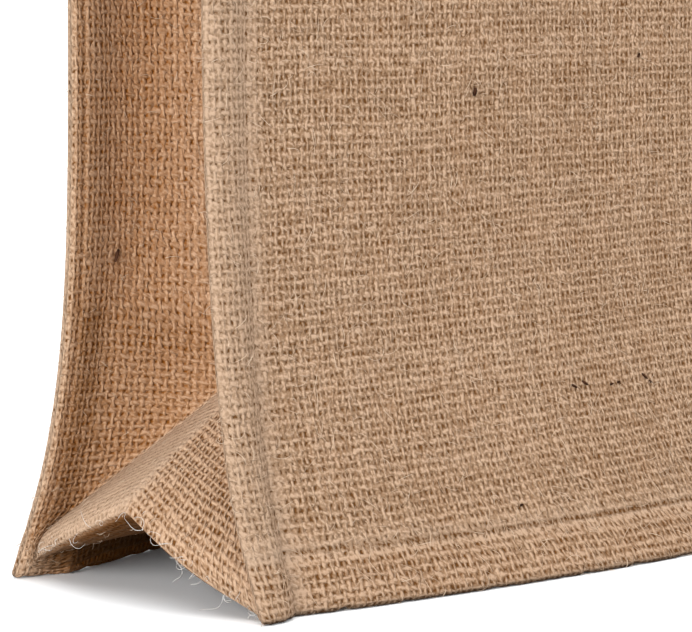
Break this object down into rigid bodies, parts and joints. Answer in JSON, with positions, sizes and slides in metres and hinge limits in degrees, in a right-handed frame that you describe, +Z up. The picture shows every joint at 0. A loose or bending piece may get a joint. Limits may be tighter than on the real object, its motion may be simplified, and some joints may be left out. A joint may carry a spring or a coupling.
{
  "type": "jute tote bag",
  "caption": "Empty woven jute tote standing open, with sewn edge fins, a folded side and bottom gusset and short looped handles.",
  "frame": {"origin": "on the floor under the middle of the bag", "axes": "+Z up through the mouth and handles, -Y out of the front panel, +X along the front panel to its right side"},
  "size_m": [0.3314, 0.1202, 0.428],
  "materials": {
    "jute_front": "natural woven jute, matt, hairy",
    "jute_back": "natural woven jute, matt, hairy",
    "jute_gusset": "natural woven jute, matt, hairy, a little browner",
    "jute_handles": "natural woven jute, matt, folded and topstitched"
  },
  "bodies": {
    "root": {"front_panel": "jute_front", "back_panel": "jute_back", "gusset_strip": "jute_gusset", "handle_front": "jute_handles", "handle_back": "jute_handles"}
  },
  "joints": []
}
